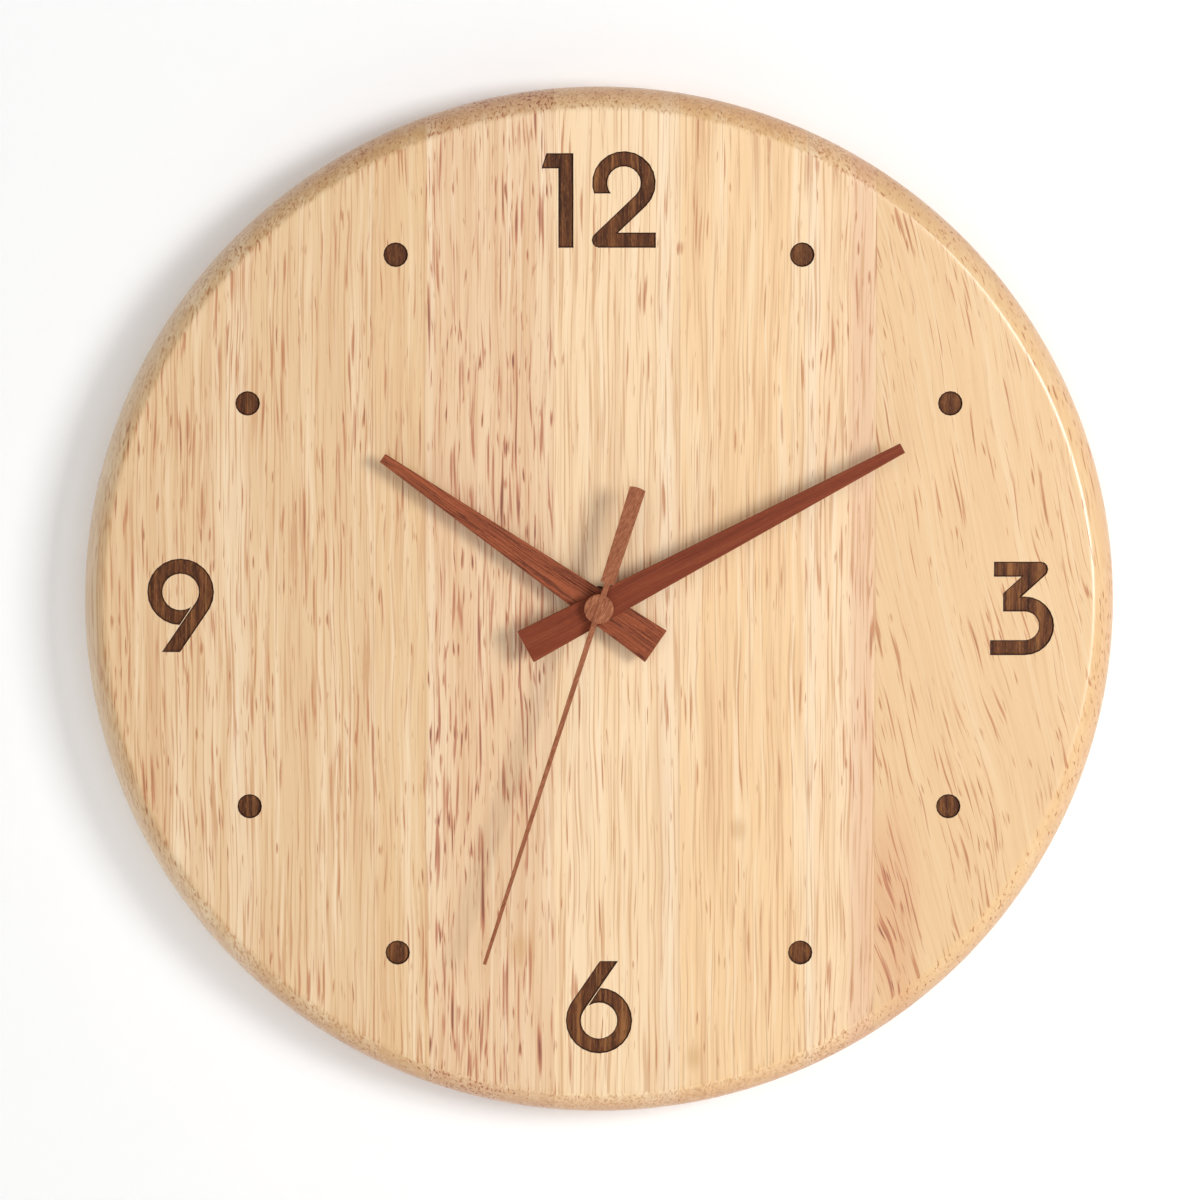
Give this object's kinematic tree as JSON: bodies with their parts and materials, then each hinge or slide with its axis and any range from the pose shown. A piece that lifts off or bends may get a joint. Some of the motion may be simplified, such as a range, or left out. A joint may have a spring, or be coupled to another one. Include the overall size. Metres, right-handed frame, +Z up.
{
  "type": "wall clock",
  "caption": "Round pale wooden wall clock with let-in dark numerals and hour dots, three wooden hands and a battery movement in a pocket behind the dial.",
  "frame": {"origin": "on the wall plane, at the middle of the nail that the clock hangs on", "axes": "+Z up towards twelve, +Y into the wall, -Y towards the viewer, +X to the right of the dial"},
  "size_m": [0.3, 0.0368, 0.3],
  "materials": {
    "board_wood": "satin clear lacquer on pale rubberwood",
    "inlay_walnut": "oiled walnut",
    "hand_wood": "satin reddish brown wood",
    "steel": "bright zinc",
    "brass": "turned",
    "copper_winding": "enamelled copper wire",
    "rubber": "matte",
    "case_plastic": "fine spark texture",
    "gear_plastic": "natural acetal",
    "knob_plastic": "satin",
    "bobbin_plastic": "satin",
    "magnet": "sintered",
    "circuit": "solder resist",
    "resin": "black potting resin",
    "battery_jacket": "printed sleeve with no lettering"
  },
  "bodies": {
    "clock_body": {"dial_board": "board_wood", "numeral_one": "inlay_walnut", "numeral_two": "inlay_walnut", "numeral_three": "inlay_walnut", "numeral_six": "inlay_walnut", "numeral_nine": "inlay_walnut", "hour_dot_1": "inlay_walnut", "hour_dot_2": "inlay_walnut", "hour_dot_4": "inlay_walnut", "hour_dot_5": "inlay_walnut", "hour_dot_7": "inlay_walnut", "hour_dot_8": "inlay_walnut", "hour_dot_10": "inlay_walnut", "hour_dot_11": "inlay_walnut", "keyhole_hanger": "steel", "hanger_screw_upper": "steel", "hanger_screw_lower": "steel", "movement_case": "case_plastic", "back_cover": "case_plastic", "gear_plate": "case_plastic", "threaded_bush": "brass", "rubber_washer": "rubber", "dial_washer": "brass", "dial_nut": "brass", "coil_core": "steel", "coil_bobbin": "bobbin_plastic", "coil_winding": "copper_winding", "motor_stator": "steel", "motor_screw_left": "steel", "motor_screw_right": "steel", "circuit_board": "circuit", "quartz_crystal": "steel", "timing_chip": "resin", "positive_contact": "brass", "negative_contact": "steel"},
    "minute_arbor": {"minute_hand": "hand_wood", "minute_hand_bush": "brass", "cannon_pinion": "steel", "clutch_spring": "brass", "centre_wheel": "gear_plastic"},
    "hour_pipe": {"hour_hand": "hand_wood", "hour_hand_bush": "brass", "hour_wheel": "gear_plastic"},
    "second_arbor": {"second_hand": "hand_wood", "second_hand_tube": "steel", "seconds_wheel": "gear_plastic"},
    "third_arbor": {"third_wheel": "gear_plastic"},
    "intermediate_arbor": {"intermediate_wheel": "gear_plastic"},
    "rotor": {"rotor_pinion": "steel", "rotor_magnet": "magnet"},
    "minute_wheel": {"minute_wheel": "gear_plastic"},
    "setting_knob": {"setting_knob": "knob_plastic", "setting_shaft": "gear_plastic"},
    "battery": {"battery": "battery_jacket"}
  },
  "joints": [
    {"name": "minute_hand_turn", "type": "hinge", "parent": "clock_body", "child": "minute_arbor", "pos_m": [0, 0, -0.07], "axis": [0, 1, 0], "continuous": true},
    {"name": "hour_hand_turn", "type": "hinge", "parent": "clock_body", "child": "hour_pipe", "pos_m": [0, 0, -0.07], "axis": [0, 1, 0], "continuous": true},
    {"name": "second_hand_turn", "type": "hinge", "parent": "clock_body", "child": "second_arbor", "pos_m": [0, 0, -0.07], "axis": [0, 1, 0], "continuous": true},
    {"name": "third_wheel_turn", "type": "hinge", "parent": "clock_body", "child": "third_arbor", "pos_m": [0.0102, 0, -0.07], "axis": [0, 1, 0], "continuous": true},
    {"name": "intermediate_wheel_turn", "type": "hinge", "parent": "clock_body", "child": "intermediate_arbor", "pos_m": [0.0043, 0, -0.06255], "axis": [0, 1, 0], "continuous": true},
    {"name": "rotor_turn", "type": "hinge", "parent": "clock_body", "child": "rotor", "pos_m": [0.01167, 0, -0.05987], "axis": [0, 1, 0], "continuous": true},
    {"name": "minute_wheel_turn", "type": "hinge", "parent": "clock_body", "child": "minute_wheel", "pos_m": [-0.0085, 0, -0.07], "axis": [0, 1, 0], "continuous": true},
    {"name": "setting_knob_turn", "type": "hinge", "parent": "clock_body", "child": "setting_knob", "pos_m": [-0.017, 0, -0.07], "axis": [0, 1, 0], "continuous": true},
    {"name": "battery_lift", "type": "slide", "parent": "clock_body", "child": "battery", "axis": [0, 1, 0], "range_m": [0, 0.02]}
  ],
  "couplings": [
    {"joint": "hour_hand_turn", "follows": "minute_hand_turn", "ratio": 0.083333},
    {"joint": "second_hand_turn", "follows": "minute_hand_turn", "ratio": 60},
    {"joint": "third_wheel_turn", "follows": "minute_hand_turn", "ratio": -8},
    {"joint": "intermediate_wheel_turn", "follows": "minute_hand_turn", "ratio": -300},
    {"joint": "rotor_turn", "follows": "minute_hand_turn", "ratio": 1800},
    {"joint": "minute_wheel_turn", "follows": "minute_hand_turn", "ratio": -0.33333},
    {"joint": "setting_knob_turn", "follows": "minute_hand_turn", "ratio": 1}
  ]
}
